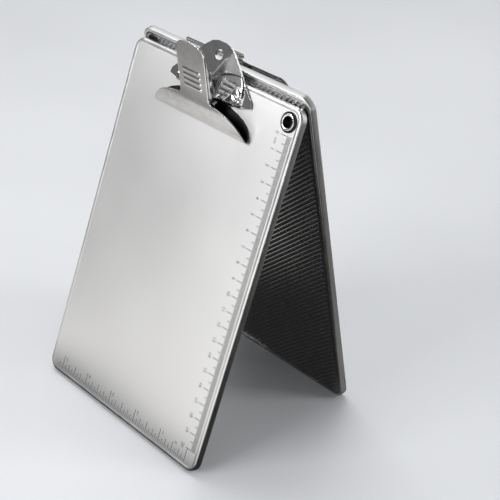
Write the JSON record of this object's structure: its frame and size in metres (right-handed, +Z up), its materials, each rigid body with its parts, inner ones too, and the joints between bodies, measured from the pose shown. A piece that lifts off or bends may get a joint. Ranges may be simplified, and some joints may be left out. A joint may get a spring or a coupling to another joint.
{
  "type": "clipboard",
  "caption": "Small metal clipboards stood back to back as an A-frame: silver faces with ruler edges, a tall sprung lever clip on one, a low flat clip on the other, black ribbed backs.",
  "frame": {"origin": "on the floor, at the centre of the footprint of the two standing boards", "axes": "+X to the right when the front writing face is looked at, +Y from the front board to the rear board, +Z up"},
  "size_m": [0.1508, 0.1328, 0.2411],
  "materials": {
    "face_metal": "fine brushed satin",
    "frame_metal": "polished, rounded edge",
    "core": "black board core",
    "back_sheet": "fine diagonal ribs, low sheen",
    "clip_chrome": "bright nickel chrome on pressed steel",
    "spring_steel": "drawn wire",
    "eyelet_metal": "bright",
    "washer_black": "black"
  },
  "bodies": {
    "front_board": {"front_edge_frame": "frame_metal", "front_face_plate": "face_metal", "front_core_panel": "core", "front_back_sheet": "back_sheet", "front_eyelet": "eyelet_metal", "front_eyelet_washer": "washer_black", "front_clip_base_jaw": "clip_chrome", "front_clip_hinge_pin": "clip_chrome", "front_clip_spring": "spring_steel", "front_clip_rivet_left": "clip_chrome", "front_clip_rivet_right": "clip_chrome"},
    "front_clip_lever": {"front_clip_lever_jaw": "clip_chrome"},
    "rear_board": {"rear_edge_frame": "frame_metal", "rear_face_plate": "face_metal", "rear_core_panel": "core", "rear_back_sheet": "back_sheet", "rear_eyelet": "eyelet_metal", "rear_eyelet_washer": "washer_black", "rear_clip_base_plate": "clip_chrome", "rear_clip_hinge_rod": "clip_chrome", "rear_clip_spring": "spring_steel", "rear_clip_rivet_left": "clip_chrome", "rear_clip_rivet_right": "clip_chrome"},
    "rear_clip_clamp": {"rear_clip_clamp_plate": "clip_chrome"}
  },
  "joints": [
    {"name": "board_fold", "type": "hinge", "parent": "front_board", "child": "rear_board", "pos_m": [0, 0.01176, 0.21698], "axis": [1, 0, 0], "range_deg": [-31.6, 10]},
    {"name": "front_clip_open", "type": "hinge", "parent": "front_board", "child": "front_clip_lever", "pos_m": [0, -0.00403, 0.20515], "axis": [-1, 0, 0], "range_deg": [0, 36], "stiffness_Nm_per_rad": 0.02, "springref_deg": -20.05, "deforming": ["front_clip_spring"]},
    {"name": "rear_clip_open", "type": "hinge", "parent": "rear_board", "child": "rear_clip_clamp", "pos_m": [0, 0.02432, 0.2108], "axis": [1, 0, 0], "range_deg": [0, 13], "stiffness_Nm_per_rad": 0.02, "springref_deg": -20.05, "deforming": ["rear_clip_spring"]}
  ]
}
